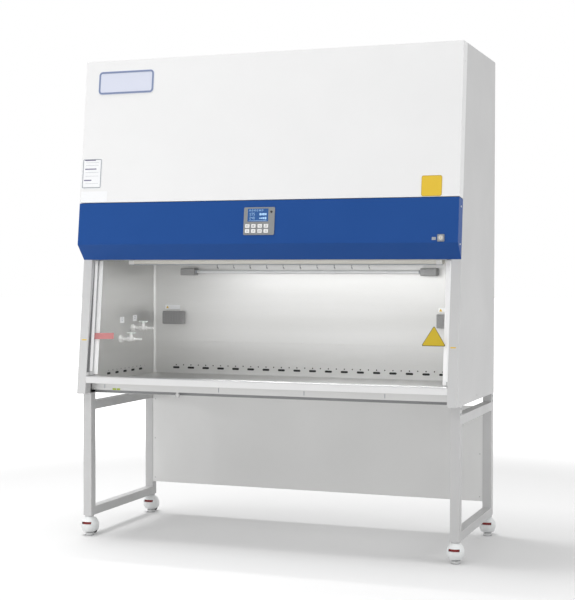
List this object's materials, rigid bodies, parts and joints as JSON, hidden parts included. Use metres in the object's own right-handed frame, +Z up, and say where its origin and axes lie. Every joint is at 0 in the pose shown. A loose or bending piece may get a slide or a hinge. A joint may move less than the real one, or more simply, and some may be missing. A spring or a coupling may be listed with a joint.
{
  "type": "biosafety cabinet",
  "caption": "Free-standing laboratory safety cabinet with a leaning glass sash, steel work chamber, control panel and a tube stand on levelling castors.",
  "frame": {"origin": "on the floor, under the centre of the whole object's box", "axes": "+X to the cabinet's right as its user sees it, +Y to its back, +Z up; the open front faces -Y"},
  "size_m": [1.8867, 0.8202, 2.285],
  "materials": {
    "white_enamel": "satin powder coat",
    "blue_enamel": "satin powder coat",
    "stand_enamel": "satin powder coat",
    "stainless": "brushed",
    "sill_steel": "bead blasted",
    "galvanised": "galvanised sheet",
    "impeller_steel": "plain",
    "filter_media": "pleated glass fibre paper",
    "sash_pane": "clear toughened",
    "clamp_alloy": "anodised",
    "guide_plastic": "extruded",
    "shaft_steel": "ground",
    "belt_rubber": "toothed",
    "bezel_plastic": "moulded",
    "screen_glass": "backlit blue display",
    "key_plastic": "moulded",
    "lock_metal": "satin",
    "holder_plastic": "moulded",
    "lid_plastic": "moulded",
    "lamp_glass": "quartz",
    "light_cream": "diffuse",
    "rail_steel": "polished",
    "tap_enamel": "coated",
    "lever_plastic": "moulded",
    "inlet_plastic": "moulded",
    "castor_nylon": "moulded nylon",
    "castor_tread": "nylon tread",
    "thumb_red": "moulded",
    "pad_steel": "zinc plated with rubber sole"
  },
  "bodies": {
    "root": {"side_panels": "white_enamel", "rear_panel": "white_enamel", "power_inlet": "inlet_plastic", "top_panel": "white_enamel", "upper_front_cover": "white_enamel", "blue_front_panel": "blue_enamel", "control_bezels": "bezel_plastic", "display_screen": "screen_glass", "chamber_liner": "stainless", "work_tray": "stainless", "front_grille": "sill_steel", "drain_pan": "stainless", "sash_guides": "guide_plastic", "sash_belts": "belt_rubber", "sash_gearmotor": "galvanised", "ulpa_filters": "filter_media", "air_diffuser": "stainless", "pressure_plenum": "galvanised", "blower_housing": "galvanised", "light_bar": "light_cream", "hanging_rail": "rail_steel", "lamp_holders": "holder_plastic", "uv_tube": "lamp_glass", "socket_boxes": "holder_plastic", "tap_bodies": "tap_enamel", "stand_side_frames": "stand_enamel", "stand_rear_panel": "stand_enamel"},
    "sash": {"sash_glass": "sash_pane", "sash_clamps": "clamp_alloy"},
    "sash_drive": {"sash_drive_shaft": "shaft_steel"},
    "impeller": {"blower_impeller": "impeller_steel"},
    "key_switch_barrel": {"key_switch": "lock_metal"},
    "left_socket_lid": {"socket_lid_left": "lid_plastic"},
    "right_socket_lid": {"socket_lid_right": "lid_plastic"},
    "front_tap_lever": {"tap_lever_1": "lever_plastic"},
    "rear_tap_lever": {"tap_lever_2": "lever_plastic"},
    "keypad_1": {"key_1": "key_plastic"},
    "keypad_2": {"key_2": "key_plastic"},
    "keypad_3": {"key_3": "key_plastic"},
    "keypad_4": {"key_4": "key_plastic"},
    "keypad_5": {"key_5": "key_plastic"},
    "keypad_6": {"key_6": "key_plastic"},
    "keypad_7": {"key_7": "key_plastic"},
    "keypad_8": {"key_8": "key_plastic"},
    "castor_fl": {"castor_fl_housing": "castor_nylon"},
    "castor_fl_roller": {"castor_fl_wheel": "castor_tread"},
    "castor_fl_nut": {"castor_fl_thumbwheel": "thumb_red"},
    "castor_fl_foot": {"castor_fl_pad": "pad_steel"},
    "castor_fr": {"castor_fr_housing": "castor_nylon"},
    "castor_fr_roller": {"castor_fr_wheel": "castor_tread"},
    "castor_fr_nut": {"castor_fr_thumbwheel": "thumb_red"},
    "castor_fr_foot": {"castor_fr_pad": "pad_steel"},
    "castor_rl": {"castor_rl_housing": "castor_nylon"},
    "castor_rl_roller": {"castor_rl_wheel": "castor_tread"},
    "castor_rl_nut": {"castor_rl_thumbwheel": "thumb_red"},
    "castor_rl_foot": {"castor_rl_pad": "pad_steel"},
    "castor_rr": {"castor_rr_housing": "castor_nylon"},
    "castor_rr_roller": {"castor_rr_wheel": "castor_tread"},
    "castor_rr_nut": {"castor_rr_thumbwheel": "thumb_red"},
    "castor_rr_foot": {"castor_rr_pad": "pad_steel"}
  },
  "joints": [
    {"name": "sash_lift", "type": "slide", "parent": "root", "child": "sash", "axis": [0, 0.1117, 0.9937], "range_m": [-0.17241, 0.29]},
    {"name": "sash_drive_turn", "type": "hinge", "parent": "root", "child": "sash_drive", "pos_m": [0, -0.18015, 2.07397], "axis": [-1, 0, 0], "range_deg": [-473, 794]},
    {"name": "impeller_spin", "type": "hinge", "parent": "root", "child": "impeller", "pos_m": [0, 0.11294, 1.74], "axis": [0, 1, 0], "continuous": true},
    {"name": "key_switch_turn", "type": "hinge", "parent": "root", "child": "key_switch_barrel", "pos_m": [0.849, -0.39973, 1.423], "axis": [0, 0.9937, -0.1117], "range_deg": [0, 90]},
    {"name": "left_lid_open", "type": "hinge", "parent": "root", "child": "left_socket_lid", "pos_m": [-0.728, 0.23994, 1.0685], "axis": [-1, 0, 0], "range_deg": [0, 100]},
    {"name": "right_lid_open", "type": "hinge", "parent": "root", "child": "right_socket_lid", "pos_m": [0.728, 0.23994, 1.0685], "axis": [-1, 0, 0], "range_deg": [0, 100]},
    {"name": "front_tap_turn", "type": "hinge", "parent": "root", "child": "front_tap_lever", "pos_m": [-0.79, -0.10506, 0.94], "axis": [0, 0, 1], "range_deg": [0, 90]},
    {"name": "rear_tap_turn", "type": "hinge", "parent": "root", "child": "rear_tap_lever", "pos_m": [-0.79, 0.02594, 0.99], "axis": [0, 0, 1], "range_deg": [0, 90]},
    {"name": "key_1_press", "type": "slide", "parent": "root", "child": "keypad_1", "axis": [0, 0.9937, -0.1117], "range_m": [0, 0.001], "stiffness_N_per_m": 400, "springref_m": -0.001},
    {"name": "key_2_press", "type": "slide", "parent": "root", "child": "keypad_2", "axis": [0, 0.9937, -0.1117], "range_m": [0, 0.001], "stiffness_N_per_m": 400, "springref_m": -0.001},
    {"name": "key_3_press", "type": "slide", "parent": "root", "child": "keypad_3", "axis": [0, 0.9937, -0.1117], "range_m": [0, 0.001], "stiffness_N_per_m": 400, "springref_m": -0.001},
    {"name": "key_4_press", "type": "slide", "parent": "root", "child": "keypad_4", "axis": [0, 0.9937, -0.1117], "range_m": [0, 0.001], "stiffness_N_per_m": 400, "springref_m": -0.001},
    {"name": "key_5_press", "type": "slide", "parent": "root", "child": "keypad_5", "axis": [0, 0.9937, -0.1117], "range_m": [0, 0.001], "stiffness_N_per_m": 400, "springref_m": -0.001},
    {"name": "key_6_press", "type": "slide", "parent": "root", "child": "keypad_6", "axis": [0, 0.9937, -0.1117], "range_m": [0, 0.001], "stiffness_N_per_m": 400, "springref_m": -0.001},
    {"name": "key_7_press", "type": "slide", "parent": "root", "child": "keypad_7", "axis": [0, 0.9937, -0.1117], "range_m": [0, 0.001], "stiffness_N_per_m": 400, "springref_m": -0.001},
    {"name": "key_8_press", "type": "slide", "parent": "root", "child": "keypad_8", "axis": [0, 0.9937, -0.1117], "range_m": [0, 0.001], "stiffness_N_per_m": 400, "springref_m": -0.001},
    {"name": "castor_fl_swivel", "type": "hinge", "parent": "root", "child": "castor_fl", "pos_m": [-0.903, -0.32706, 0.092], "axis": [0, 0, 1], "continuous": true},
    {"name": "castor_fl_roll", "type": "hinge", "parent": "castor_fl", "child": "castor_fl_roller", "pos_m": [-0.903, -0.28306, 0.023], "axis": [1, 0, 0], "continuous": true},
    {"name": "castor_fl_thumb", "type": "hinge", "parent": "castor_fl", "child": "castor_fl_nut", "pos_m": [-0.903, -0.32706, 0.0575], "axis": [0, 0, 1], "range_deg": [-1230, 1440]},
    {"name": "castor_fl_level", "type": "slide", "parent": "castor_fl", "child": "castor_fl_foot", "axis": [0, 0, -1], "range_m": [-0.0061, 0.0071]},
    {"name": "castor_fr_swivel", "type": "hinge", "parent": "root", "child": "castor_fr", "pos_m": [0.903, -0.32706, 0.092], "axis": [0, 0, 1], "continuous": true},
    {"name": "castor_fr_roll", "type": "hinge", "parent": "castor_fr", "child": "castor_fr_roller", "pos_m": [0.903, -0.28306, 0.023], "axis": [1, 0, 0], "continuous": true},
    {"name": "castor_fr_thumb", "type": "hinge", "parent": "castor_fr", "child": "castor_fr_nut", "pos_m": [0.903, -0.32706, 0.0575], "axis": [0, 0, 1], "range_deg": [-1230, 1440]},
    {"name": "castor_fr_level", "type": "slide", "parent": "castor_fr", "child": "castor_fr_foot", "axis": [0, 0, -1], "range_m": [-0.0061, 0.0071]},
    {"name": "castor_rl_swivel", "type": "hinge", "parent": "root", "child": "castor_rl", "pos_m": [-0.903, 0.34394, 0.092], "axis": [0, 0, 1], "continuous": true},
    {"name": "castor_rl_roll", "type": "hinge", "parent": "castor_rl", "child": "castor_rl_roller", "pos_m": [-0.903, 0.38794, 0.023], "axis": [1, 0, 0], "continuous": true},
    {"name": "castor_rl_thumb", "type": "hinge", "parent": "castor_rl", "child": "castor_rl_nut", "pos_m": [-0.903, 0.34394, 0.0575], "axis": [0, 0, 1], "range_deg": [-1230, 1440]},
    {"name": "castor_rl_level", "type": "slide", "parent": "castor_rl", "child": "castor_rl_foot", "axis": [0, 0, -1], "range_m": [-0.0061, 0.0071]},
    {"name": "castor_rr_swivel", "type": "hinge", "parent": "root", "child": "castor_rr", "pos_m": [0.903, 0.34394, 0.092], "axis": [0, 0, 1], "continuous": true},
    {"name": "castor_rr_roll", "type": "hinge", "parent": "castor_rr", "child": "castor_rr_roller", "pos_m": [0.903, 0.38794, 0.023], "axis": [1, 0, 0], "continuous": true},
    {"name": "castor_rr_thumb", "type": "hinge", "parent": "castor_rr", "child": "castor_rr_nut", "pos_m": [0.903, 0.34394, 0.0575], "axis": [0, 0, 1], "range_deg": [-1230, 1440]},
    {"name": "castor_rr_level", "type": "slide", "parent": "castor_rr", "child": "castor_rr_foot", "axis": [0, 0, -1], "range_m": [-0.0061, 0.0071]}
  ],
  "couplings": [
    {"joint": "sash_drive_turn", "follows": "sash_lift", "rad_per_m": 47.619},
    {"joint": "castor_fl_level", "follows": "castor_fl_thumb", "m_per_rad": 0.00027852},
    {"joint": "castor_fr_level", "follows": "castor_fr_thumb", "m_per_rad": 0.00027852},
    {"joint": "castor_rl_level", "follows": "castor_rl_thumb", "m_per_rad": 0.00027852},
    {"joint": "castor_rr_level", "follows": "castor_rr_thumb", "m_per_rad": 0.00027852}
  ]
}
